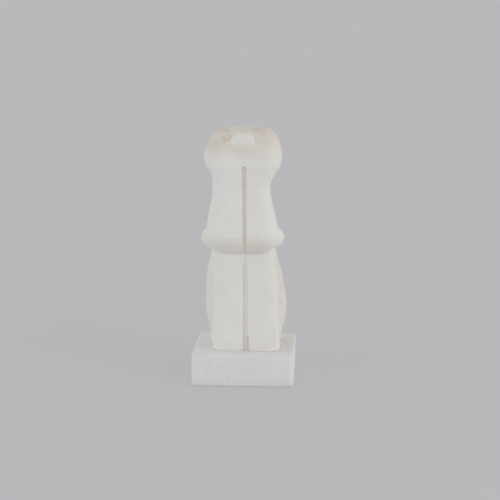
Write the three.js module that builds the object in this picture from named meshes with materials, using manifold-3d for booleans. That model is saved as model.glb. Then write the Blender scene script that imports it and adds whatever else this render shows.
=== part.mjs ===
// Headless marble figurine of Cycladic type, seen from behind at -Y, on its own plinth block.
// Millimetres, +Z up, +X to the right when looking at the carved back, origin under the plinth.
import * as THREE from "three";
import { mergeVertices } from "three/addons/utils/BufferGeometryUtils.js";
import Module from "manifold-3d";

const wasm = await Module();
wasm.setup();

// ---- Driving dimensions ----

const PLINTH = { width: 93.4, depth: 77, height: 30, edgeRadius: 1.8 };
// Radii of the plinth's upright edges, from the far right one anticlockwise seen from above.
const PLINTH_CORNERS = [4.5, 4.5, 3.2, 5.4];
const JOINT_GAP = 0.3; // the dry joint between the soles and the plinth
const FIGURE_HEIGHT = 202.9;
const SECTION_SIDES = 64;

// Every height below is measured from the soles of the figure.
// The centre line that the cross sections are drawn around, from the soles up.
const CENTRE_LINE = [
  { h: 0, x: 1.2, y: 2 },
  { h: 60, x: 1, y: 2 },
  { h: 92, x: -0.8, y: -3 },
  { h: 115, x: -1.8, y: -8 },
  { h: 150, x: -2.3, y: -9.5 },
  { h: 176, x: -0.9, y: -9 },
  { h: 204, x: 2.4, y: -4 },
];

// The slab of both legs' backs: flat, with upright edges that are tightest at the soles. The
// squareness of a section is 2 for an ellipse, and larger closer to a rectangle.
const LEG_BLOCK = [
  { h: 0, left: -29, right: 33.4, near: -24.7, squareness: 8 },
  { h: 45, left: -29.2, right: 33.6, near: -23.8, squareness: 5 },
  { h: 70, left: -29.4, right: 32, near: -23.2, squareness: 4.6 },
  { h: 92, left: -28.4, right: 28.8, near: -22.6, squareness: 5 },
  { h: 110, left: -26, right: 25, near: -22, squareness: 5.6 },
];

// The calves and knees that swell out on the far side of that slab.
const LEG_BULGE = [
  { h: 0, left: -32, right: 33.2, far: 25.5 },
  { h: 12, left: -32.3, right: 34.8, far: 24.5 },
  { h: 36, left: -36.5, right: 38.8, far: 27 },
  { h: 68, left: -34.8, right: 34.2, far: 22.5 },
  { h: 88, left: -30.4, right: 29, far: 17.5 },
  { h: 110, left: -26, right: 25, far: 12 },
];

// The trunk, from the hip roll through the waist to the shoulders.
const TRUNK = [
  { h: 88, left: -34, right: 32, near: -32.2, far: 16 },
  { h: 106, left: -33.6, right: 32.6, near: -32.8, far: 16 },
  { h: 118, left: -32.4, right: 30, near: -31.8, far: 14.5 },
  { h: 151, left: -26.9, right: 24.3, near: -29.2, far: 9.5 },
  { h: 161, left: -27.3, right: 28.4, near: -29.8, far: 11.5 },
  { h: 172, left: -33.2, right: 34.1, near: -30.4, far: 14 },
  { h: 179, left: -35.2, right: 34.8, near: -30.4, far: 14.5 },
];
const ROLL_UNDERSIDE = { top: 109, bottom: 89.6, shrink: 0.42, power: 1.7, sideLift: 0.9 };
const BELLY_UNDERSIDE = { top: 114, bottom: 78, shrink: 0.3 };
const SHOULDER_DOME = { start: 170, height: 35, leftPower: 2.7, rightPower: 3, nearPower: 2.1 };

// The hips: a ring of round section that stands out past the trunk at both sides.
const HIPS = { h: 103, left: -39.2, right: 36.9, near: -27, far: 13, sectionRadius: 9.4 };

// How square the other cross sections are, on the same measure.
const SQUARENESS = { bulge: 2.5, trunk: 5, dome: 2.5, far: 2.4, hips: 2.3 };
const BLEND = { legs: 1.6, roll: 0.8, hips: 1.8 }; // fillet sizes where the masses meet

// The stump where the neck has broken off: a low boss between two hollows.
const STUMP = { x: 0.5, h: 194, halfWidth: 10, halfHeight: 6.5, rise: 0.9 };
const STUMP_HOLLOW = { offset: 14.5, h: 195, halfWidth: 7.5, halfHeight: 7, sink: 1.2 };

const SPINE_SLOT = { x: 2.2, top: 170.8, bottom: 90.5, halfWidth: 2.25, depth: 2.1 };
const CLEFT = { x: 2.1, top: 92, pinch: 0.9, halfWidth: 2.7, leftDepth: 2.4, rightDepth: 1 };
const FAR_CLEFT = { x: 1.2, top: 72, halfWidth: 2, depth: 4.5 };
const FOOT_GAP = { x: 2.3, width: 6.6, height: 13.9, depth: 2.1 };

// ---- Small maths ----

const lerp = THREE.MathUtils.lerp;
const smoothstep = THREE.MathUtils.smoothstep;

// Values of the stations at height h, on a monotone cubic through them.
function stationAt(stations, h) {
  const last = stations.length - 1;
  if (h <= stations[0].h) return stations[0];
  if (h >= stations[last].h) return stations[last];
  const i = stations.findIndex((s) => s.h > h) - 1;
  const span = stations[i + 1].h - stations[i].h;
  const t = (h - stations[i].h) / span;
  const slope = (j, key) => {
    if (j === 0 || j === last) return 0;
    const [below, here, above] = stations.slice(j - 1, j + 2);
    const before = (here[key] - below[key]) / (here.h - below.h);
    const after = (above[key] - here[key]) / (above.h - here.h);
    return before * after > 0 ? (2 * before * after) / (before + after) : 0;
  };
  const value = {};
  for (const key of Object.keys(stations[0])) {
    const a = stations[i][key];
    const b = stations[i + 1][key];
    const rise = span * (t ** 3 - 2 * t ** 2 + t) * slope(i, key);
    const run = span * (t ** 3 - t ** 2) * slope(i + 1, key);
    value[key] = a + (b - a) * (3 * t ** 2 - 2 * t ** 3) + rise + run;
  }
  return value;
}

// The larger of a and b, rounded over the distance k where they are close.
function smoothMax(a, b, k) {
  const near = Math.max(k - Math.abs(a - b), 0) / k;
  return Math.max(a, b) + (near * near * k) / 4;
}

// Radius of a rounded rectangle in one direction, from its reach along the two axes.
function cornerRadius(cosine, sine, reachX, reachY, power) {
  const across = Math.abs(cosine) / reachX;
  const along = Math.abs(sine) / reachY;
  return (across ** power + along ** power) ** (-1 / power);
}

// Radius of a section with its own reach on all four sides of the centre.
function sectionRadius(angle, centre, sides, nearPower, farPower) {
  const cosine = Math.cos(angle);
  const sine = Math.sin(angle);
  const reachX = cosine < 0 ? centre.x - sides.left : sides.right - centre.x;
  const reachY = sine < 0 ? centre.y - sides.near : sides.far - centre.y;
  return cornerRadius(cosine, sine, reachX, reachY, sine < 0 ? nearPower : farPower);
}

// ---- The masses of the figure, as radii around the centre line ----

function legsRadius(angle, h, centre) {
  const block = { ...stationAt(LEG_BLOCK, h), far: centre.y + 9 };
  const bulge = { ...stationAt(LEG_BULGE, h), near: centre.y - 17 };
  const blockRadius = sectionRadius(angle, centre, block, block.squareness, SQUARENESS.far);
  const bulgeRadius = sectionRadius(angle, centre, bulge, SQUARENESS.bulge, SQUARENESS.bulge);
  return smoothMax(blockRadius, bulgeRadius, BLEND.legs);
}

// How much of the trunk's radius is left below its widest: a full round under the roll on the
// near side, and a long soft taper from the belly into the thighs on the far side.
function tuckAt(angle, h) {
  const under = (top, bottom) => THREE.MathUtils.clamp((top - h) / (top - bottom), 0, 1);
  const { top, bottom, shrink, power, sideLift } = ROLL_UNDERSIDE;
  const drop = under(top, bottom + sideLift * Math.cos(angle) ** 2);
  const roll = shrink * (1 - (1 - drop ** power) ** (1 / power));
  const bellyDrop = under(BELLY_UNDERSIDE.top, BELLY_UNDERSIDE.bottom);
  const belly = BELLY_UNDERSIDE.shrink * smoothstep(bellyDrop, 0, 1);
  return 1 - lerp(roll, belly, smoothstep(Math.sin(angle), 0.1, 0.8));
}

function trunkRadius(angle, h, centre) {
  const dome = THREE.MathUtils.clamp((h - SHOULDER_DOME.start) / SHOULDER_DOME.height, 0, 1);
  const nearPower = lerp(SQUARENESS.trunk, SQUARENESS.dome, Math.min(2 * dome, 1));
  const full = sectionRadius(angle, centre, stationAt(TRUNK, h), nearPower, SQUARENESS.far);
  const nearness = Math.max(-Math.sin(angle), 0) ** 2;
  const rightness = smoothstep(Math.cos(angle), -0.5, 0.5);
  const sidePower = lerp(SHOULDER_DOME.leftPower, SHOULDER_DOME.rightPower, rightness);
  const power = lerp(sidePower, SHOULDER_DOME.nearPower, nearness);
  return full * tuckAt(angle, h) * (1 - dome ** power) ** (1 / power);
}

function hipsRadius(angle, h, centre) {
  const offset = Math.abs(h - HIPS.h);
  if (offset > HIPS.sectionRadius) return 0;
  const ring = sectionRadius(angle, centre, HIPS, SQUARENESS.hips, SQUARENESS.hips);
  return ring - HIPS.sectionRadius + Math.sqrt(HIPS.sectionRadius ** 2 - offset ** 2);
}

function figureRadius(angle, h, centre) {
  const trunk = trunkRadius(angle, h, centre);
  const upper = smoothMax(trunk, hipsRadius(angle, h, centre), BLEND.hips);
  if (h > LEG_BLOCK.at(-1).h) return upper;
  return smoothMax(upper, legsRadius(angle, h, centre), BLEND.roll);
}

// How far the broken neck stump and its two hollows lift the near side of the dome.
function stumpRelief(x, h) {
  const bump = (dx, dh) => smoothstep(1.4 - Math.hypot(dx, dh), 0, 0.8);
  const boss = bump((x - STUMP.x) / STUMP.halfWidth, (h - STUMP.h) / STUMP.halfHeight);
  const side = Math.abs(x - STUMP.x) - STUMP_HOLLOW.offset;
  const rise = h - STUMP_HOLLOW.h;
  const hollow = bump(side / STUMP_HOLLOW.halfWidth, rise / STUMP_HOLLOW.halfHeight);
  return STUMP.rise * boss - STUMP_HOLLOW.sink * hollow * (1 - boss);
}

// ---- Meshes ----

// Closed mesh through rings of points, with a fan over each end ring.
function lofted(rings) {
  const sides = rings[0].length;
  const points = rings.flat();
  const faces = [];
  for (let ring = 0; ring < rings.length - 1; ring++) {
    for (let i = 0; i < sides; i++) {
      const a = ring * sides + i;
      const b = ring * sides + ((i + 1) % sides);
      faces.push(a, b, b + sides, a, b + sides, a + sides);
    }
  }
  const middle = (ring) => {
    const sum = new THREE.Vector3();
    for (const point of ring) sum.add(point);
    return sum.divideScalar(sides);
  };
  const bottom = points.push(middle(rings[0])) - 1;
  const top = points.push(middle(rings.at(-1))) - 1;
  const topRing = (rings.length - 1) * sides;
  for (let i = 0; i < sides; i++) {
    const next = (i + 1) % sides;
    faces.push(bottom, next, i, top, topRing + i, topRing + next);
  }
  return new THREE.BufferGeometry().setFromPoints(points).setIndex(faces);
}

// Heights of the rings: even up the legs and trunk, closer at the roll, then round the dome.
function ringHeights() {
  const heights = [];
  const evenly = (from, to, count) => {
    for (let i = 0; i < count; i++) heights.push(lerp(from, to, i / count));
  };
  evenly(0, 84, 15);
  evenly(84, 108, 14);
  evenly(108, SHOULDER_DOME.start, 12);
  const domeRings = 15;
  for (let i = 0; i < domeRings; i++) {
    const turn = (i / domeRings) * 0.97 * (Math.PI / 2);
    const lift = Math.sin(turn) ** (2 / SHOULDER_DOME.leftPower);
    heights.push(SHOULDER_DOME.start + SHOULDER_DOME.height * lift);
  }
  return heights;
}

function figureGeometry() {
  const rings = ringHeights().map((h) => {
    const centre = stationAt(CENTRE_LINE, h);
    const pole = SHOULDER_DOME.start + SHOULDER_DOME.height;
    const level = Math.min(h, FIGURE_HEIGHT - 0.02 * (pole - h));
    return Array.from({ length: SECTION_SIDES }, (_, i) => {
      const angle = (i / SECTION_SIDES) * 2 * Math.PI;
      const radius = figureRadius(angle, h, centre);
      const nearness = Math.max(-Math.sin(angle), 0);
      const lift = nearness * stumpRelief(centre.x + radius * Math.cos(angle), h);
      const reach = radius + lift;
      const x = centre.x + reach * Math.cos(angle);
      return new THREE.Vector3(x, centre.y + reach * Math.sin(angle), level);
    });
  });
  return lofted(rings);
}

// A cutter that follows one side of the body: halfAt gives half its width at each height, and
// leftFloor and rightFloor the y of its floor along the left and right walls.
function grooveCutter(x, heights, halfAt, leftFloor, rightFloor, mouth) {
  const rings = heights.map((h) => {
    const half = halfAt(h);
    const corners = [
      [x - half, mouth],
      [x + half, mouth],
      [x + half * 0.85, rightFloor(h)],
      [x - half * 0.85, leftFloor(h)],
    ];
    if (mouth > leftFloor(h)) corners.reverse();
    return corners.map(([cornerX, y]) => new THREE.Vector3(cornerX, y, h));
  });
  return lofted(rings);
}

function heightsBetween(bottom, top, count) {
  return Array.from({ length: count + 1 }, (_, i) => lerp(bottom, top, i / count));
}

function nearFaceAt(x, h) {
  const centre = stationAt(CENTRE_LINE, h);
  const angle = Math.atan2(-25, x - centre.x);
  return centre.y + figureRadius(angle, h, centre) * Math.sin(angle);
}

// The spine slot is a saw-straight cut with a round upper end and an even depth.
function spineSlotCutter() {
  const { x, top, bottom, halfWidth, depth } = SPINE_SLOT;
  const endRise = [1, 0.7, 0.4].map((k) => top - halfWidth * k * 0.9);
  const heights = [...heightsBetween(bottom, top - 2 * halfWidth, 18), ...endRise];
  const halfAt = (h) => {
    const overEnd = Math.max(h - (top - halfWidth), 0) / halfWidth;
    return halfWidth * Math.sqrt(1 - overEnd ** 2);
  };
  const floorAt = (h) => nearFaceAt(x, h) + depth;
  return grooveCutter(x, heights, halfAt, floorAt, floorAt, -45);
}

// The cleft between the legs is pinched under the roll, then wider and straight; its floor climbs
// from the steep left wall to the right lip.
function cleftCutter() {
  const { x, top, pinch, halfWidth, leftDepth, rightDepth } = CLEFT;
  const openness = (h) => smoothstep(top - h, 6, 17);
  const halfAt = (h) => lerp(pinch, halfWidth, openness(h));
  const floorAt = (h, depth) => stationAt(LEG_BLOCK, h).near + depth * lerp(0.4, 1, openness(h));
  const leftFloor = (h) => floorAt(h, leftDepth);
  const rightFloor = (h) => floorAt(h, rightDepth);
  return grooveCutter(x, heightsBetween(-1, top, 20), halfAt, leftFloor, rightFloor, -30);
}

// A softer furrow parts the legs on the far side.
function farCleftCutter() {
  const { x, top, halfWidth, depth } = FAR_CLEFT;
  const openness = (h) => smoothstep(top - h, 0, 30);
  const floorAt = (h) => stationAt(LEG_BULGE, h).far + 0.5 - depth * openness(h);
  const halfAt = (h) => halfWidth * lerp(0.3, 1, openness(h));
  return grooveCutter(x, heightsBetween(-1, top, 12), halfAt, floorAt, floorAt, 40);
}

// A shallow squared notch between the feet.
function footGapCutter() {
  const { x, width, height, depth } = FOOT_GAP;
  const floor = stationAt(LEG_BLOCK, height / 2).near + depth;
  const reach = 20;
  return new THREE.BoxGeometry(width, reach, 2 * height).translate(x, floor - reach / 2, 0);
}

function solidOf(geometry) {
  const bare = geometry.clone();
  bare.deleteAttribute("normal");
  bare.deleteAttribute("uv");
  const merged = mergeVertices(bare, 1e-4);
  const vertProperties = new Float32Array(merged.attributes.position.array);
  const triVerts = new Uint32Array(merged.index.array);
  return new wasm.Manifold(new wasm.Mesh({ numProp: 3, vertProperties, triVerts }));
}

function geometryOf(solid) {
  const { vertProperties, triVerts } = solid.getMesh();
  const geometry = new THREE.BufferGeometry();
  geometry.setAttribute("position", new THREE.BufferAttribute(vertProperties, 3));
  geometry.setIndex(new THREE.BufferAttribute(triVerts, 1));
  geometry.computeVertexNormals();
  return geometry;
}

// ---- The two pieces ----

function buildFigure() {
  const cutters = [spineSlotCutter(), cleftCutter(), farCleftCutter(), footGapCutter()];
  const block = solidOf(figureGeometry());
  const carved = cutters.reduce((solid, cutter) => solid.subtract(solidOf(cutter)), block);
  const marble = new THREE.MeshStandardMaterial({ color: 0xd3d0ca, roughness: 0.55, metalness: 0 });
  const figure = new THREE.Mesh(geometryOf(carved), marble);
  figure.name = "figure";
  figure.position.z = PLINTH.height + JOINT_GAP;
  return figure;
}

function buildPlinth() {
  const { width, depth, height, edgeRadius: edge } = PLINTH;
  const outline = new THREE.Shape();
  PLINTH_CORNERS.forEach((corner, quarter) => {
    const round = corner - edge;
    const wayX = quarter === 0 || quarter === 3 ? 1 : -1;
    const wayY = quarter < 2 ? 1 : -1;
    const x = wayX * (width / 2 - corner);
    const y = wayY * (depth / 2 - corner);
    outline.absarc(x, y, round, (quarter * Math.PI) / 2, ((quarter + 1) * Math.PI) / 2);
  });
  const block = new THREE.ExtrudeGeometry(outline, {
    depth: height - 2 * edge,
    curveSegments: 5,
    bevelThickness: edge,
    bevelSize: edge,
    bevelSegments: 3,
  });
  block.translate(0, 0, edge);
  const marble = new THREE.MeshStandardMaterial({ color: 0xc8c8c7, roughness: 0.75, metalness: 0 });
  const plinth = new THREE.Mesh(geometryOf(solidOf(block)), marble);
  plinth.name = "plinth";
  return plinth;
}

const figurine = new THREE.Group();
figurine.add(buildPlinth(), buildFigure());

export default figurine;
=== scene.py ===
"""Looks of a headless marble figurine of Cycladic type, seen from behind, on its own plinth."""
import math

import bpy
import numpy as np
from mathutils import Matrix, Vector, noise


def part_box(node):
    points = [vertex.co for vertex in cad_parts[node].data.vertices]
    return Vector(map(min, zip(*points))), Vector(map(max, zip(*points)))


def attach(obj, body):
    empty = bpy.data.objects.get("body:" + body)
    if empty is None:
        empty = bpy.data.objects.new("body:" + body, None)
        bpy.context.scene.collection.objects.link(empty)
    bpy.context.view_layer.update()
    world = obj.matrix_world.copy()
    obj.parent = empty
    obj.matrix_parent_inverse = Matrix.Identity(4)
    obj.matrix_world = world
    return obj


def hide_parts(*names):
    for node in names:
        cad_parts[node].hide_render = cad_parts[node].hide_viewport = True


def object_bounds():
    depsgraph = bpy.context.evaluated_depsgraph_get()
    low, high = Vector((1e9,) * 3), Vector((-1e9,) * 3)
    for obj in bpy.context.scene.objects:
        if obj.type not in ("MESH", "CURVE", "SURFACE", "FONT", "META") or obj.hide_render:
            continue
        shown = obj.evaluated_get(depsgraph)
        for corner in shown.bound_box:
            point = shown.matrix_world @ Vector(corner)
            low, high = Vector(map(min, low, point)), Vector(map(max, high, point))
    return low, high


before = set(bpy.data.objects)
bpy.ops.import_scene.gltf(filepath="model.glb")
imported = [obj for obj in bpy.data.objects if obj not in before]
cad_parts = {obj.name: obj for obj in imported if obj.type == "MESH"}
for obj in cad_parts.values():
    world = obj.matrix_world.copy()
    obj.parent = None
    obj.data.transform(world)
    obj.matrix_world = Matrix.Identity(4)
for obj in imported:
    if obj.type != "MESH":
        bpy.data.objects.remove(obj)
cad_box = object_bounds()

MM = 0.001
FIGURE_LOW, FIGURE_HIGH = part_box("figure")
PLINTH_LOW, PLINTH_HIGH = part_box("plinth")
SOLES = FIGURE_LOW.z / MM  # height of the soles above the ground
FIGURE_HEIGHT = (FIGURE_HIGH.z - FIGURE_LOW.z) / MM

# ---------------------------------------------------------------- sizes of the figure, in mm
# Every height h is measured from the soles. near is the carved back, at -Y, and far is the front.

CENTRE_LINE = {
    "h": [0, 60, 92, 115, 150, 176, 204],
    "x": [1.2, 1, -0.8, -1.8, -2.3, -0.9, 2.4],
    "y": [2, 2, -3, -8, -9.5, -9, -4],
}
LEG_BLOCK = {
    "h": [0, 45, 70, 92, 110],
    "left": [-29, -29.2, -29.4, -28.4, -26],
    "right": [33.4, 33.6, 32, 28.8, 25],
    "near": [-24.7, -23.8, -23.2, -22.6, -22],
    "squareness": [11, 5, 4.6, 5, 5.6],
}
LEG_BULGE = {
    "h": [0, 12, 36, 68, 88, 110],
    "left": [-32, -32.3, -36.5, -34.8, -30.4, -26],
    "right": [33.2, 34.8, 38.8, 34.2, 29, 25],
    "far": [25.5, 24.5, 27, 22.5, 17.5, 12],
}
TRUNK = {
    "h": [88, 106, 118, 151, 161, 172, 179],
    "left": [-34, -33.6, -32.4, -26.9, -27.3, -33.2, -35.2],
    "right": [32, 32.6, 30, 24.3, 28.4, 34.1, 34.8],
    "near": [-32.2, -32.8, -31.8, -29.2, -29.8, -30.4, -30.4],
    "far": [16, 16, 14.5, 9.5, 11.5, 14, 14.5],
}
HIPS = {
    "h": 103,
    "left": -39.2,
    "right": 36.9,
    "near": -27,
    "far": 13,
    "section_radius": 9.4,
}

BLOCK_FAR = 9  # how far the leg block runs past the centre line, inside the bulge
BULGE_NEAR = 17  # how far the bulge runs back towards the block's face, inside the block
SOLE_ROUNDING = 1.9  # the worn lower corners of the block
JOINT = 0.05  # what is left between the soles and the plinth
ROLL_UNDERSIDE = {"top": 109, "bottom": 89.6, "shrink": 0.42, "power": 1.7, "side_lift": 0.9}
BELLY_UNDERSIDE = {"top": 114, "bottom": 78, "shrink": 0.3}
DOME = {"start": 170, "height": 35, "left_power": 2.7, "right_power": 3, "near_power": 2.1}
SQUARENESS = {"bulge": 2.5, "trunk": 5, "dome": 2.5, "far": 2.4, "hips": 2.3}
BLEND = {"legs": 1.6, "roll": 0.8, "hips": 1.8}

SPINE_SLOT = {"x": 2.2, "top": 170.8, "half_width": 2.5, "depth": 2.1, "lip": 0.8}
CLEFT = {
    "x": 2.1,
    "top": 92,
    "pinch": 0.9,
    "half_width": 2.7,
    "left_depth": 2.4,
    "right_depth": 1.0,
}
FAR_CLEFT = {"x": 1.2, "top": 72, "half_width": 3.2, "depth": 4.2}
FOOT_GAP = {"x": 2.3, "half_width": 3.3, "height": 13.9, "depth": 2.1}
STUMP = {
    "foot": 188.6,
    "top": 200.6,
    "left": -13.4,
    "right": 13.2,
    "left_slope": 0.72,
    "right_slope": 0.5,
    "rise": 0.9,
}
CHIP = {"x": -14.9, "h": 148.2, "radius": 1.5, "depth": 0.5}
HOLLOWS = {"offset": 15, "h": 194.5, "half_width": 10, "half_height": 8.5, "sink": 1.2}
STAIN = {"x": -2, "h": 183, "half_width": 7, "half_height": 5}  # a dull patch below the stump
HAND_CARVING = {"lumps": 0.16, "tooling": 0.07}  # unevenness left by the hand and its tools

PLINTH_EDGE = 2.2  # rounding of the edges, seen from above
PLINTH_FOOT_EDGE = 3  # height over which the lower edges round in
PLINTH_CORNERS = [4.5, 4.5, 3.2, 5.4]  # far right, far left, near left, near right
PLINTH_MARKS = [  # tool marks picked into the near face
    {"x": -5, "z": 13.8, "radius": 2.6, "depth": 0.55},
    {"x": 11.5, "z": 16.0, "radius": 1.7, "depth": 0.7},
    {"x": 3.5, "z": 11.5, "radius": 3.2, "depth": 0.4},
    {"x": -14, "z": 8.5, "radius": 3.0, "depth": 0.35},
    {"x": 19, "z": 9.5, "radius": 2.4, "depth": 0.35},
]

# ---------------------------------------------------------------- dirt and painted shade, from 0 to 1

# Share of the darker, warmer colour: real dirt and patina, and painted shade where marked below.
FIGURE_DIRT_AND_SHADE = {
    # the grooves: patina and painted shade
    "slot": 0.23,
    "cleft": 0.05,
    "gap": 0.31,
    # painted shade on the shoulder tops beside the stump
    "left_hollow_shade": 0.50,
    "right_hollow_shade": 0.45,
    # painted shade on the crown and dome, which tilt upwards
    "crown": 0.55,
    "dome": 0.36,
    # painted shade under the roll
    "under_roll": 0.22,
    # painted shade on the side-facing lobes
    "shaded_lobes": 0.14,
    # painted shade in the crease beside the leg block, warmer on the right
    "left_flank_shade": 0.12,
    "right_flank_shade": 0.25,
    "far_side": 0.12,
    "feet": 0.13,
    "stain": 0.12,
    "lumps": 0.05,
    # painted warm tint of the key light on the right
    "key_light_tint": 0.04,
    "everywhere": 0.02,
}
PLINTH_DIRT_AND_SHADE = {
    "everywhere": 0.04,
    "lumps": 0.07,
    "sides": 0.10,
    # painted shade that dims the light caught by the rounded top edges
    "top_edge_shade": 0.14,
    # painted contact shadow along the lower edges
    "painted_contact_shadow": 0.25,
    # painted shade on the top beside the soles
    "shade_by_joint": 0.05,
    # painted shadow in the crevice at the back right of the figure
    "crevice_shadow": 0.75,
    "ends_of_top": 0.09,
    "right_of_top": 0.2,
    # painted shade, darker towards the bottom
    "low": 0.22,
}

# ---------------------------------------------------------------- stone, light and camera

# The darker, warmer colour below serves for dirt and for painted shade alike.
FIGURE_STONE = {
    "name": "honed_marble",
    "clean": (0.89, 0.881, 0.857),
    "dirt_and_shade_colour": (0.675, 0.587, 0.465),
    "roughness": 0.5,
    "grain": 900,
    "depth": 0.0003,
}
PLINTH_STONE = {
    "name": "rough_marble",
    "clean": (0.868, 0.873, 0.882),
    "dirt_and_shade_colour": (0.64, 0.60, 0.535),
    "roughness": 0.75,
    "grain": 420,
    "depth": 0.0007,
}
CLOUDING = 0.28  # how much soft clouds add to or take from the dirt and painted shade
DUSTING = 0.3  # the same for fine specks
LAMP_DISTANCE = 3.2
LAMP_SIZE = 2.2
AIR = {"below": (0.49, 0.49, 0.48), "level": (0.562, 0.562, 0.564), "above": (0.578, 0.578, 0.588)}
VIEW = {"azimuth": 3.83, "pitch": 12.24, "roll": -0.27, "distance": 0.9224, "aim": (5.1, 0, 3.2)}

# ---------------------------------------------------------------- small maths


def smoothstep(value, start, end):
    t = np.clip((value - start) / (end - start), 0, 1)
    return t * t * (3 - 2 * t)


def station(stations, key, h):
    """The monotone cubic through one column of a table of stations, at heights h."""
    heights = np.array(stations["h"], float)
    values = np.array(stations[key], float)
    steps = np.diff(values) / np.diff(heights)
    slopes = np.zeros_like(values)
    same_way = steps[:-1] * steps[1:] > 0
    product = 2 * steps[:-1] * steps[1:]
    total = np.where(same_way, steps[:-1] + steps[1:], 1)
    slopes[1:-1] = np.where(same_way, product / total, 0)
    h = np.clip(h, heights[0], heights[-1])
    i = np.clip(np.searchsorted(heights, h, side="right") - 1, 0, len(heights) - 2)
    span = heights[i + 1] - heights[i]
    t = (h - heights[i]) / span
    blend = 3 * t**2 - 2 * t**3
    rise = span * (t**3 - 2 * t**2 + t) * slopes[i]
    run = span * (t**3 - t**2) * slopes[i + 1]
    return values[i] + (values[i + 1] - values[i]) * blend + rise + run


def smooth_max(a, b, k):
    """The larger of a and b, rounded over the distance k where they are close."""
    closeness = np.maximum(k - np.abs(a - b), 0) / k
    return np.maximum(a, b) + closeness**2 * k / 4


def section_radius(angle, centre, reach, near_power, far_power):
    """Radius of a rounded four-sided section that has its own reach on each side."""
    cosine, sine = np.cos(angle), np.sin(angle)
    across = np.where(cosine < 0, centre["x"] - reach["left"], reach["right"] - centre["x"])
    along = np.where(sine < 0, centre["y"] - reach["near"], reach["far"] - centre["y"])
    power = np.where(sine < 0, near_power, far_power)
    return ((np.abs(cosine) / across) ** power + (np.abs(sine) / along) ** power) ** (-1 / power)


# ---------------------------------------------------------------- the masses of the figure


def legs_radius(angle, h, centre):
    near_sole = np.clip(SOLE_ROUNDING - h, 0, SOLE_ROUNDING)
    corner = SOLE_ROUNDING - np.sqrt(SOLE_ROUNDING**2 - near_sole**2)
    block = {
        "left": station(LEG_BLOCK, "left", h) + corner,
        "right": station(LEG_BLOCK, "right", h) - corner,
        "near": station(LEG_BLOCK, "near", h),
        "far": centre["y"] + BLOCK_FAR,
    }
    bulge = {key: station(LEG_BULGE, key, h) for key in ("left", "right", "far")}
    bulge["near"] = centre["y"] - BULGE_NEAR
    squareness = station(LEG_BLOCK, "squareness", h)
    block_radius = section_radius(angle, centre, block, squareness, SQUARENESS["far"])
    bulge_radius = section_radius(angle, centre, bulge, SQUARENESS["bulge"], SQUARENESS["bulge"])
    return smooth_max(block_radius, bulge_radius, BLEND["legs"])


def tuck(angle, h):
    """What is left of the trunk's radius below its widest: round under the roll on the near side,
    and a long soft taper from the belly into the thighs on the far side."""
    bottom = ROLL_UNDERSIDE["bottom"] + ROLL_UNDERSIDE["side_lift"] * np.cos(angle) ** 2
    under_roll = np.clip((ROLL_UNDERSIDE["top"] - h) / (ROLL_UNDERSIDE["top"] - bottom), 0, 1)
    power = ROLL_UNDERSIDE["power"]
    roll = ROLL_UNDERSIDE["shrink"] * (1 - (1 - under_roll**power) ** (1 / power))
    under_belly = smoothstep(-h, -BELLY_UNDERSIDE["top"], -BELLY_UNDERSIDE["bottom"])
    belly = BELLY_UNDERSIDE["shrink"] * under_belly
    farness = smoothstep(np.sin(angle), 0.1, 0.8)
    return 1 - (roll + (belly - roll) * farness)


def trunk_radius(angle, h, centre):
    rise = np.clip((h - DOME["start"]) / DOME["height"], 0, 1)
    reach = {key: station(TRUNK, key, h) for key in ("left", "right", "near", "far")}
    rounder = (SQUARENESS["dome"] - SQUARENESS["trunk"]) * np.minimum(2 * rise, 1)
    near_power = SQUARENESS["trunk"] + rounder
    full = section_radius(angle, centre, reach, near_power, SQUARENESS["far"])
    nearness = np.maximum(-np.sin(angle), 0) ** 2
    rightness = smoothstep(np.cos(angle), -0.5, 0.5)
    side_power = DOME["left_power"] + (DOME["right_power"] - DOME["left_power"]) * rightness
    power = side_power + (DOME["near_power"] - side_power) * nearness
    return full * tuck(angle, h) * (1 - rise**power) ** (1 / power)


def hips_radius(angle, h, centre):
    radius = HIPS["section_radius"]
    ring = section_radius(angle, centre, HIPS, SQUARENESS["hips"], SQUARENESS["hips"])
    bulge = np.sqrt(np.maximum(radius**2 - (h - HIPS["h"]) ** 2, 0))
    return np.where(np.abs(h - HIPS["h"]) < radius, ring - radius + bulge, 0)


def figure_radius(angle, h, centre):
    upper = smooth_max(trunk_radius(angle, h, centre), hips_radius(angle, h, centre), BLEND["hips"])
    legs = np.where(h < LEG_BLOCK["h"][-1], legs_radius(angle, h, centre), 0)
    return smooth_max(upper, legs, BLEND["roll"])


# ---------------------------------------------------------------- the carved relief


def bump(across, up):
    return 1 - smoothstep(np.hypot(across, up), 0.3, 1.4)


def stump_share(x, h, ragged):
    """1 on the break of the neck and 0 beside it: a ragged patch that narrows upwards."""
    above = h - STUMP["foot"]
    left = x - STUMP["left"] - STUMP["left_slope"] * above
    right = STUMP["right"] - STUMP["right_slope"] * above - x
    inside = np.minimum.reduce([left, right, above, STUMP["top"] - h]) + ragged
    return smoothstep(inside, -1.0, 1.5)


def hollow_share(x, h):
    beside = (np.abs(x - 0.5) - HOLLOWS["offset"]) / HOLLOWS["half_width"]
    return bump(beside, (h - HOLLOWS["h"]) / HOLLOWS["half_height"])


def slot_share(x, h):
    """1 inside the spine slot: steep walls, a round upper end, and on through the roll below."""
    over_end = np.maximum(h - (SPINE_SLOT["top"] - SPINE_SLOT["half_width"]), 0)
    distance = np.hypot(x - SPINE_SLOT["x"], over_end)
    edge = SPINE_SLOT["half_width"]
    inside = 1 - smoothstep(distance, edge - SPINE_SLOT["lip"], edge + 0.5 * SPINE_SLOT["lip"])
    return inside * smoothstep(h, 89.5, 91.5)


def cleft_half_width(h):
    opening = smoothstep(CLEFT["top"] - h, 6, 17)
    return CLEFT["pinch"] + (CLEFT["half_width"] - CLEFT["pinch"]) * opening


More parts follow.
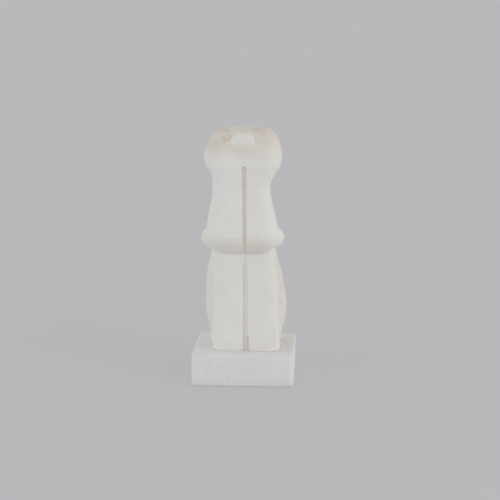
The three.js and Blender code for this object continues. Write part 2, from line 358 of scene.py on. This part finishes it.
def cleft_share(x, h):
    """1 inside the cleft between the legs: pinched under the roll, wider and straight below."""
    half = cleft_half_width(h)
    left_wall = smoothstep(x, CLEFT["x"] - half - 0.3, CLEFT["x"] - half + 0.3)
    right_wall = 1 - smoothstep(x, CLEFT["x"] + half - 0.5, CLEFT["x"] + half + 0.4)
    return left_wall * right_wall * smoothstep(CLEFT["top"] - h, 0, 3)


def cleft_floor(x, h):
    """Depth of the cleft's floor, which climbs from the steep left wall to the right lip."""
    half = cleft_half_width(h)
    across = np.clip((x - CLEFT["x"]) / half * 0.5 + 0.5, 0, 1)
    full = CLEFT["left_depth"] + (CLEFT["right_depth"] - CLEFT["left_depth"]) * across
    return full * (0.4 + 0.6 * smoothstep(CLEFT["top"] - h, 6, 17))


def foot_gap_share(x, h):
    """1 inside the squared notch between the feet."""
    beside = np.abs(x - FOOT_GAP["x"]) - FOOT_GAP["half_width"]
    above = h - FOOT_GAP["height"]
    return 1 - smoothstep(np.maximum(beside, above), -0.4, 0.4)


def far_cleft(x, h):
    opening = smoothstep(FAR_CLEFT["top"] - h, 0, 40)
    distance = np.abs(x - FAR_CLEFT["x"]) / FAR_CLEFT["half_width"]
    return FAR_CLEFT["depth"] * opening * (1 - smoothstep(distance, 0.1, 1.1))


def noise_at(points, size, octaves=3, seed=0):
    """Fractal noise, about -1 to 1, at points in mm; size is that of its largest lumps."""
    offset = Vector((seed * 17.3, seed * 5.1, seed * 9.7))
    flat = points.reshape(-1, 3).tolist()
    values = [noise.fractal(Vector(p) / size + offset, 1.0, 2.0, octaves) for p in flat]
    return np.array(values).reshape(points.shape[:-1])


# ---------------------------------------------------------------- meshes


def lofted_mesh(name, rings, dirt_and_shade):
    """A closed mesh through rings of points, an array (rings, sides, 3) in mm, fanned at both ends.
    The last argument says for each point how far its colour goes towards dirt and painted shade,
    from 0 to 1."""
    count, sides = rings.shape[:2]
    points = np.concatenate([rings.reshape(-1, 3), rings[:1].mean(1), rings[-1:].mean(1)])
    grid = np.arange(count * sides).reshape(count, sides)
    after = np.roll(grid, -1, axis=1)
    quads = np.stack([grid[:-1], after[:-1], after[1:], grid[1:]], -1).reshape(-1, 4).tolist()
    bottom, top = count * sides, count * sides + 1
    fans = [(bottom, b, a) for a, b in zip(grid[0].tolist(), after[0].tolist())]
    fans += [(top, a, b) for a, b in zip(grid[-1].tolist(), after[-1].tolist())]
    mesh = bpy.data.meshes.new(name)
    mesh.from_pydata((points * MM).tolist(), [], quads + fans)
    mesh.update()
    ends = [dirt_and_shade[0].mean(), dirt_and_shade[-1].mean()]
    values = np.concatenate([dirt_and_shade.reshape(-1), ends])
    attribute = mesh.attributes.new("dirt_and_shade", "FLOAT", "POINT")
    attribute.data.foreach_set("value", values.astype(np.float32))
    piece = bpy.data.objects.new(name, mesh)
    bpy.context.scene.collection.objects.link(piece)
    return piece


def graded(spans):
    """Values along spans of (start, end, step), with no value twice."""
    return np.concatenate([
        np.linspace(start, end, max(2, round(abs(end - start) / step)), endpoint=False)
        for start, end, step in spans
    ])


def figure_angles():
    """Angles round the centre line: fine across the slot and the far furrow, coarser elsewhere."""
    near, far = 1.5 * math.pi, 0.5 * math.pi
    return graded([
        (near - 0.10, near + 0.32, 0.0105),
        (near + 0.32, 2 * math.pi + far - 0.2, 0.026),
        (2 * math.pi + far - 0.2, 2 * math.pi + far + 0.2, 0.018),
        (2 * math.pi + far + 0.2, 2 * math.pi + near - 0.10, 0.026),
    ])


def figure_heights():
    """Heights of the rings, from the soles to just short of the pole of the dome."""
    lower = graded([
        (0, 3, 0.4),
        (3, 13, 0.8),
        (13, 14.6, 0.2),
        (14.6, 84, 0.8),
        (84, 110, 0.4),
        (110, 166, 0.8),
        (166, 173, 0.3),
        (173, 196, 0.7),
    ])
    first = math.asin(((196 - DOME["start"]) / DOME["height"]) ** (DOME["left_power"] / 2))
    turns = np.linspace(first, 0.985 * math.pi / 2, 38)
    dome = DOME["start"] + DOME["height"] * np.sin(turns) ** (2 / DOME["left_power"])
    return np.concatenate([lower, dome])


def figure_noises(points):
    return {
        "lumps": noise_at(points, 16, 2, seed=1),
        "tooling": noise_at(points, 3.2, 3, seed=2),
        "breaks": noise_at(points, 7, 3, seed=5),
    }


def on_face(angle):
    """1 on the carved back and 0 on the sides and the front."""
    return smoothstep(-np.sin(angle), 0.4, 0.6)


def carved_shares(x, h, angle, breaks):
    """How far each carved or broken feature applies at each point, from 0 to 1."""
    face = on_face(angle)
    below_dome = face * (h < DOME["start"] + 10)
    stump = face * stump_share(x, h, 1.8 * breaks)
    from_chip = np.hypot(x - CHIP["x"], h - CHIP["h"]) / CHIP["radius"]
    return {
        "stump": stump,
        "hollow": face * hollow_share(x, h) * (1 - stump),
        "slot": below_dome * slot_share(x, h),
        "cleft": below_dome * cleft_share(x, h),
        "gap": below_dome * foot_gap_share(x, h),
        "chip": face * (1 - smoothstep(from_chip, 0.4, 1)),
    }


def carved_relief(x, h, angle, shares, noises):
    """How far the carving, the breaks and the hand's unevenness move the surface out, in mm."""
    through_roll = 1 - 0.4 * smoothstep(-h, -104, -91)
    grooves = [
        SPINE_SLOT["depth"] * through_roll * shares["slot"],
        cleft_floor(x, h) * shares["cleft"],
        FOOT_GAP["depth"] * shares["gap"],
    ]
    carved = np.maximum.reduce(grooves) + CHIP["depth"] * shares["chip"]
    rise = STUMP["rise"] * smoothstep(h - STUMP["foot"], -1, 6) * (1 + noises["breaks"])
    near = np.maximum(-np.sin(angle), 0)
    lifted = near * (rise * shares["stump"] - HOLLOWS["sink"] * shares["hollow"])
    furrow = smoothstep(np.sin(angle), 0.4, 0.6) * far_cleft(x, h)
    uneven = sum(height * noises[kind] for kind, height in HAND_CARVING.items())
    return lifted - carved - furrow + uneven


def figure_levels(h, breaks):
    """Heights above the ground: soles set down on the plinth, and a flat, slightly broken crown."""
    flat_top = FIGURE_HEIGHT - 0.02 * (DOME["start"] + DOME["height"] - h)
    settled = (SOLES - PLINTH_HIGH.z / MM - JOINT) * (1 - smoothstep(h, 0, 3))
    broken = 0.7 * np.abs(breaks) * smoothstep(h - flat_top, 0, 1)
    return SOLES + np.minimum(h, flat_top) - settled - broken


def figure_dirt_and_shade(x, y, h, angle, shares, noises):
    """How far each point's colour goes towards dirt and painted shade, from 0 to 1:
    the most of any place either is put.
    """
    lumpy = 1 + 0.5 * noises["lumps"]
    mottled = 1 + 0.6 * noises["breaks"]
    # painted shade in the hollows on the shoulders, mottled
    hollow_shade = np.where(x < 0, FIGURE_DIRT_AND_SHADE["left_hollow_shade"], FIGURE_DIRT_AND_SHADE["right_hollow_shade"])
    # painted shade in the crease between the leg block and the bulge, stronger on the right
    rightwards = (FIGURE_DIRT_AND_SHADE["right_flank_shade"] - FIGURE_DIRT_AND_SHADE["left_flank_shade"]) * smoothstep(x, -20, 24)
    shaded_flanks = smoothstep(y - station(LEG_BLOCK, "near", h), 3, 9) * smoothstep(-h, -92, -80)
    # painted shade on the underside of the roll
    under_roll = np.maximum(-np.sin(angle), 0) * smoothstep(-h, -109, -99) * smoothstep(h, 89, 91.5)
    # painted shade on the lobes, which face sideways
    shaded_lobes = smoothstep(np.abs(x), 30, 36) * smoothstep(h, 90, 96) * smoothstep(-h, -114, -108)
    feet = smoothstep(-h, -16, 0) * smoothstep(-np.abs(x - 2), -26, -18)
    dirt_and_shade = np.maximum.reduce([
        # the grooves: patina and painted shade where shade falls in them
        FIGURE_DIRT_AND_SHADE["slot"] * shares["slot"],
        FIGURE_DIRT_AND_SHADE["cleft"] * shares["cleft"],
        FIGURE_DIRT_AND_SHADE["gap"] * shares["gap"],
        hollow_shade * shares["hollow"] * (mottled + 0.3 * noises["tooling"]),
        # painted shade on the upward-facing crown and dome
        FIGURE_DIRT_AND_SHADE["crown"] * smoothstep(h, 194, 200.5) * mottled,
        FIGURE_DIRT_AND_SHADE["dome"] * smoothstep(h, 172, 190) * lumpy,
        FIGURE_DIRT_AND_SHADE["under_roll"] * under_roll,
        FIGURE_DIRT_AND_SHADE["shaded_lobes"] * shaded_lobes,
        (FIGURE_DIRT_AND_SHADE["left_flank_shade"] + rightwards) * shaded_flanks * lumpy,
        FIGURE_DIRT_AND_SHADE["far_side"] * smoothstep(np.sin(angle), 0, 0.6),
        FIGURE_DIRT_AND_SHADE["feet"] * feet,
    ])
    beside_stain = (x - STAIN["x"]) / STAIN["half_width"]
    stain = on_face(angle) * bump(beside_stain, (h - STAIN["h"]) / STAIN["half_height"])
    dirt_and_shade = dirt_and_shade * (1 - 0.5 * shares["stump"]) * (1 - shares["chip"])
    dirt_and_shade = dirt_and_shade + FIGURE_DIRT_AND_SHADE["stain"] * stain + FIGURE_DIRT_AND_SHADE["lumps"] * noises["lumps"]
    # painted warm tint of the key light, towards the right side
    dirt_and_shade = dirt_and_shade + FIGURE_DIRT_AND_SHADE["key_light_tint"] * smoothstep(x, -8, 14) + FIGURE_DIRT_AND_SHADE["everywhere"]
    return np.clip(dirt_and_shade, 0, 1)


def figure_mesh():
    """The figure as rings of points round its centre line, with its relief, dirt and painted shade.
    """
    h, angle = np.meshgrid(figure_heights(), figure_angles(), indexing="ij")
    centre = {key: station(CENTRE_LINE, key, h) for key in ("x", "y")}
    radius = figure_radius(angle, h, centre)
    x = centre["x"] + radius * np.cos(angle)
    y = centre["y"] + radius * np.sin(angle)
    noises = figure_noises(np.stack([x, y, h], -1))
    shares = carved_shares(x, h, angle, noises["breaks"])
    radius = radius + carved_relief(x, h, angle, shares, noises)
    x = centre["x"] + radius * np.cos(angle)
    y = centre["y"] + radius * np.sin(angle)
    z = figure_levels(h, noises["breaks"])
    dirt_and_shade = figure_dirt_and_shade(x, y, h, angle, shares, noises)
    return lofted_mesh("figure_marble", np.stack([x, y, z], -1), dirt_and_shade)


def plinth_mesh():
    """A block with rounded upright corners and softer top edges, as rings from the underside up."""
    width, depth, height = [(hi - lo) / MM for lo, hi in zip(PLINTH_LOW, PLINTH_HIGH)]
    edge = PLINTH_EDGE
    inset = [radius - edge for radius in PLINTH_CORNERS]
    point, outward = rounded_rectangle(width - 2 * edge, depth - 2 * edge, inset, 0.8)
    rings = []
    for share in np.linspace(0.02, 1, 34):
        rings.append((point * share, 0.0))
    for turn in np.linspace(0, math.pi / 2, 6)[1:]:
        rise = PLINTH_FOOT_EDGE * (1 - math.cos(turn))
        rings.append((point + outward * edge * math.sin(turn), rise))
    for level in np.linspace(PLINTH_FOOT_EDGE, height - edge, 36)[1:]:
        rings.append((point + outward * edge, level))
    for turn in np.linspace(math.pi / 2, 0, 6)[1:]:
        level = height - edge * (1 - math.cos(turn))
        rings.append((point + outward * edge * math.sin(turn), level))
    for share in np.linspace(1, 0.02, 50)[1:]:
        rings.append((point * share, height))
    rings = np.array([np.c_[ring, np.full(len(ring), level)] for ring, level in rings])
    return worn_plinth(rings, height)


def worn_plinth(rings, height):
    """The block's mesh, its faces picked rough and chipped, always inwards from the full size."""
    x, y, z = rings[..., 0], rings[..., 1], rings[..., 2]
    lumps = noise_at(rings, 11, 2, seed=3)
    picked = noise_at(rings, 3.4, 4, seed=4)
    wear = 0.10 * (1 + lumps) + 0.16 * np.abs(picked)
    on_near = y < PLINTH_LOW.y / MM + 3
    for mark in PLINTH_MARKS:
        distance = np.hypot(x - mark["x"], z - mark["z"]) / mark["radius"]
        wear = wear + on_near * mark["depth"] * (1 - smoothstep(distance, 0.3, 1.0))
    centre = {key: station(CENTRE_LINE, key, 0.0) for key in ("x", "y")}
    turn = np.arctan2(y - centre["y"], x - centre["x"])
    foot_radius = legs_radius(turn, 3.0, centre)
    beside = np.hypot(x - centre["x"], y - centre["y"]) - foot_radius
    on_top = z > height - 0.6
    wear = wear * np.where(on_top, smoothstep(beside, 0.5, 4), 1)
    half = np.array([(hi - lo) / MM / 2 for lo, hi in zip(PLINTH_LOW, PLINTH_HIGH)])
    middle = rings[..., 2:] - height / 2
    toward = np.concatenate([rings[..., :2], middle], -1) / half
    inward = np.sign(toward) * smoothstep(np.abs(toward), 0.9, 1.0)
    worn = rings - inward * wear[..., None]
    worn[..., 2] = np.where(z < 0.01, 0, np.maximum(worn[..., 2], 0))

    # painted shade on the top, within a few mm of the soles
    shade_by_joint = on_top * (1 - smoothstep(beside, 0, 7))
    behind_right = smoothstep(turn, 0, 0.3) * smoothstep(-turn, -1.2, -0.8)
    right_of_top = on_top * smoothstep(x, 30, 40) * smoothstep(y, -30, -5)
    sides = 1 - smoothstep(z, height - 1.5, height - 0.3)
    below_top = smoothstep(-z, -height, 0.1 - height)
    dirt_and_shade = sum([
        PLINTH_DIRT_AND_SHADE["everywhere"],
        PLINTH_DIRT_AND_SHADE["lumps"] * lumps,
        PLINTH_DIRT_AND_SHADE["sides"] * sides,
        # painted shade on the rounded top edges, dimming the light they catch
        PLINTH_DIRT_AND_SHADE["top_edge_shade"] * smoothstep(z, height - 2.5, height - 0.6) * below_top,
        # painted contact shadow along the lower edges
        PLINTH_DIRT_AND_SHADE["painted_contact_shadow"] * (1 - smoothstep(z, 0.5, 2.4)),
        PLINTH_DIRT_AND_SHADE["shade_by_joint"] * shade_by_joint,
        # painted shadow in the crevice where the bulge meets the top, at the back right
        PLINTH_DIRT_AND_SHADE["crevice_shadow"] * shade_by_joint * behind_right * (1 + 0.5 * picked),
        PLINTH_DIRT_AND_SHADE["ends_of_top"] * smoothstep(np.abs(x), 27, 40) * (1 - sides),
        PLINTH_DIRT_AND_SHADE["right_of_top"] * right_of_top * (1 + lumps),
        # painted shade towards the bottom, mottled by the picked texture
        PLINTH_DIRT_AND_SHADE["low"] * smoothstep(-z, -14, 0) * (0.8 + picked),
    ])
    return lofted_mesh("plinth_marble", worn, np.clip(dirt_and_shade, 0, 1))


def rounded_rectangle(width, depth, radii, step):
    """Points and outward normals of a rectangle about the origin, anticlockwise from the far right
    corner, each corner rounded by its own radius."""
    points, normals = [], []
    ways = [(1, 1), (-1, 1), (-1, -1), (1, -1)]
    centres = [
        np.array([way[0] * (width / 2 - radius), way[1] * (depth / 2 - radius)])
        for way, radius in zip(ways, radii)
    ]
    for i, start in enumerate(centres):
        for turn in np.linspace(i * math.pi / 2, (i + 1) * math.pi / 2, 8, endpoint=False):
            normal = np.array([math.cos(turn), math.sin(turn)])
            points.append(start + normal * radii[i])
            normals.append(normal)
        turn = (i + 1) * math.pi / 2
        normal = np.array([math.cos(turn), math.sin(turn)])
        first = start + normal * radii[i]
        last = centres[(i + 1) % 4] + normal * radii[(i + 1) % 4]
        count = round(np.linalg.norm(last - first) / step)
        for share in np.linspace(0, 1, count, endpoint=False):
            points.append(first + (last - first) * share)
            normals.append(normal)
    return np.array(points), np.array(normals)


# ---------------------------------------------------------------- materials


def new_material(name):
    material = bpy.data.materials.new(name)
    material.use_nodes = True
    nodes = material.node_tree.nodes
    shader = next(n for n in nodes if n.type == "BSDF_PRINCIPLED")
    return material, nodes, material.node_tree.links, shader


def noise_texture(nodes, links, place, scale, detail):
    texture = nodes.new("ShaderNodeTexNoise")
    texture.inputs["Scale"].default_value = scale
    texture.inputs["Detail"].default_value = detail
    links.new(place.outputs["Object"], texture.inputs["Vector"])
    return texture


def marble(name, clean, dirt_and_shade_colour, roughness, grain, depth):
    """Fine-grained marble: the dirt and painted shade of the mesh's attribute, clouded, over a
    clean stone with soft grey clouds and a fine grain."""
    material, nodes, links, shader = new_material(name)
    place = nodes.new("ShaderNodeTexCoord")
    clouds = noise_texture(nodes, links, place, 60, 6)
    specks = noise_texture(nodes, links, place, 420, 3)
    dirt_and_shade = nodes.new("ShaderNodeAttribute")
    dirt_and_shade.attribute_name = "dirt_and_shade"
    spread = nodes.new("ShaderNodeMath")
    spread.operation = "MULTIPLY_ADD"
    spread.inputs[1].default_value = CLOUDING
    spread.inputs[2].default_value = -CLOUDING / 2
    links.new(clouds.outputs["Fac"], spread.inputs[0])
    dusting = nodes.new("ShaderNodeMath")
    dusting.operation = "MULTIPLY_ADD"
    dusting.inputs[1].default_value = DUSTING
    links.new(specks.outputs["Fac"], dusting.inputs[0])
    links.new(spread.outputs["Value"], dusting.inputs[2])
    amount = nodes.new("ShaderNodeMath")
    amount.operation = "ADD"
    amount.use_clamp = True
    links.new(dirt_and_shade.outputs["Fac"], amount.inputs[0])
    links.new(dusting.outputs["Value"], amount.inputs[1])
    lowered = nodes.new("ShaderNodeMath")
    lowered.operation = "SUBTRACT"
    lowered.use_clamp = True
    lowered.inputs[1].default_value = DUSTING / 2
    links.new(amount.outputs["Value"], lowered.inputs[0])
    tint = nodes.new("ShaderNodeMix")
    tint.data_type = "RGBA"
    tint.inputs["A"].default_value = (*clean, 1)
    tint.inputs["B"].default_value = (*dirt_and_shade_colour, 1)
    links.new(lowered.outputs["Value"], tint.inputs["Factor"])
    links.new(tint.outputs["Result"], shader.inputs["Base Color"])
    fine = noise_texture(nodes, links, place, grain, 6)
    relief = nodes.new("ShaderNodeBump")
    relief.inputs["Strength"].default_value = 0.3
    relief.inputs["Distance"].default_value = depth
    links.new(fine.outputs["Fac"], relief.inputs["Height"])
    links.new(relief.outputs["Normal"], shader.inputs["Normal"])
    shader.inputs["Roughness"].default_value = roughness
    shader.inputs["Specular IOR Level"].default_value = 0.3
    shader.inputs["Subsurface Weight"].default_value = 0.3
    shader.inputs["Subsurface Radius"].default_value = (1.0, 0.75, 0.5)
    shader.inputs["Subsurface Scale"].default_value = 0.003
    return material


# ---------------------------------------------------------------- the studio


def studio():
    """A round pale cove: the floor runs up into a wall on all sides, evenly bright."""
    floor, bend, wall = 1.1, 1.5, 3.0
    profile = [(0, 0), (0.6, 0), (floor, 0)]
    for turn in np.linspace(0, math.pi / 2, 33)[1:]:
        profile.append((floor + bend * math.sin(turn), bend * (1 - math.cos(turn))))
    profile.append((floor + bend, wall))
    sides = 96
    points = [(0, 0, 0)]
    faces = []
    for distance, height in profile[1:]:
        for i in range(sides):
            turn = 2 * math.pi * i / sides
            points.append((distance * math.cos(turn), distance * math.sin(turn), height))
    for i in range(sides):
        faces.append((0, 1 + i, 1 + (i + 1) % sides))
    for ring in range(len(profile) - 2):
        for i in range(sides):
            a = 1 + ring * sides + i
            b = 1 + ring * sides + (i + 1) % sides
            faces.append((a, a + sides, b + sides, b))
    mesh = bpy.data.meshes.new("studio_cove")
    mesh.from_pydata(points, [], faces)
    for face in mesh.polygons:
        face.use_smooth = True
    cove = bpy.data.objects.new("studio_cove", mesh)
    bpy.context.scene.collection.objects.link(cove)
    material, _, _, shader = new_material("studio_paper")
    shader.inputs["Base Color"].default_value = (0.38, 0.38, 0.384, 1)
    shader.inputs["Roughness"].default_value = 1.0
    shader.inputs["Specular IOR Level"].default_value = 0.0
    shader.inputs["Emission Color"].default_value = (0.227, 0.227, 0.237, 1)
    shader.inputs["Emission Strength"].default_value = 1.0
    mesh.materials.append(material)
    # Only the camera sees the paper; the object itself is lit from all sides by the air and lamps.
    cove.visible_diffuse = False
    cove.visible_glossy = False
    cove.visible_transmission = False
    cove.visible_shadow = False


def softbox(name, azimuth, elevation, power, colour):
    """A square area light round the object, hidden from the camera; azimuth 0 is at -Y."""
    light = bpy.data.lights.new(name, "AREA")
    light.shape = "SQUARE"
    light.size = LAMP_SIZE
    light.energy = power
    light.color = colour
    lamp = bpy.data.objects.new(name, light)
    bpy.context.scene.collection.objects.link(lamp)
    target = (FIGURE_LOW + FIGURE_HIGH) / 2
    a, e = math.radians(azimuth), math.radians(elevation)
    away = Vector((math.sin(a) * math.cos(e), -math.cos(a) * math.cos(e), math.sin(e)))
    lamp.location = target + away * LAMP_DISTANCE
    lamp.rotation_euler = away.to_track_quat("Z", "Y").to_euler()
    lamp.visible_camera = False


def lights():
    softbox("key_right", 62, 14, 25, (1, 0.99, 0.965))
    softbox("fill_left", -65, 10, 16, (0.99, 0.995, 1))
    softbox("fill_back", 190, 14, 5, (1, 1, 1))
    bpy.context.scene.world = studio_air()


def studio_air():
    """Soft light from all round: most from above, less from the sides, least from below."""
    world = bpy.data.worlds.new("studio_air")
    world.use_nodes = True
    nodes, links = world.node_tree.nodes, world.node_tree.links
    direction = nodes.new("ShaderNodeTexCoord")
    split = nodes.new("ShaderNodeSeparateXYZ")
    links.new(direction.outputs["Generated"], split.inputs["Vector"])
    strength = nodes.new("ShaderNodeValToRGB")
    strength.color_ramp.elements[0].position = 0.0
    strength.color_ramp.elements[0].color = (*AIR["below"], 1)
    strength.color_ramp.elements[1].position = 1.0
    strength.color_ramp.elements[1].color = (*AIR["above"], 1)
    middle = strength.color_ramp.elements.new(0.5)
    middle.color = (*AIR["level"], 1)
    height = nodes.new("ShaderNodeMapRange")
    height.inputs["From Min"].default_value = -1
    height.inputs["From Max"].default_value = 1
    links.new(split.outputs["Z"], height.inputs["Value"])
    links.new(height.outputs["Result"], strength.inputs["Fac"])
    background = nodes["Background"]
    links.new(strength.outputs["Color"], background.inputs["Color"])
    background.inputs["Strength"].default_value = 1.0
    return world


def camera():
    """Looks down a little at the middle of the object, from slightly to its right."""
    azimuth, pitch, roll = [math.radians(VIEW[key]) for key in ("azimuth", "pitch", "roll")]
    target = (cad_box[0] + cad_box[1]) / 2 + Vector(VIEW["aim"]) * MM
    level = math.cos(pitch)
    back = Vector((math.sin(azimuth) * level, -math.cos(azimuth) * level, math.sin(pitch)))
    lens = bpy.data.cameras.new("camera")
    lens.lens = 72
    lens.sensor_width = 36
    eye = bpy.data.objects.new("camera", lens)
    bpy.context.scene.collection.objects.link(eye)
    turn = back.to_track_quat("Z", "Y").to_matrix() @ Matrix.Rotation(roll, 3, "Z")
    eye.matrix_world = Matrix.Translation(target + back * VIEW["distance"]) @ turn.to_4x4()
    bpy.context.scene.camera = eye


# ---------------------------------------------------------------- the scene

figure = figure_mesh()
plinth = plinth_mesh()
figure.data.materials.append(marble(**FIGURE_STONE))
plinth.data.materials.append(marble(**PLINTH_STONE))
for piece, node in ((figure, "figure"), (plinth, "plinth")):
    for face in piece.data.polygons:
        face.use_smooth = True
    piece.data.set_sharp_from_angle(angle=math.radians(50))
    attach(piece, "root")
    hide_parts(node)

studio()
lights()
camera()
bpy.context.scene.view_settings.view_transform = "Standard"
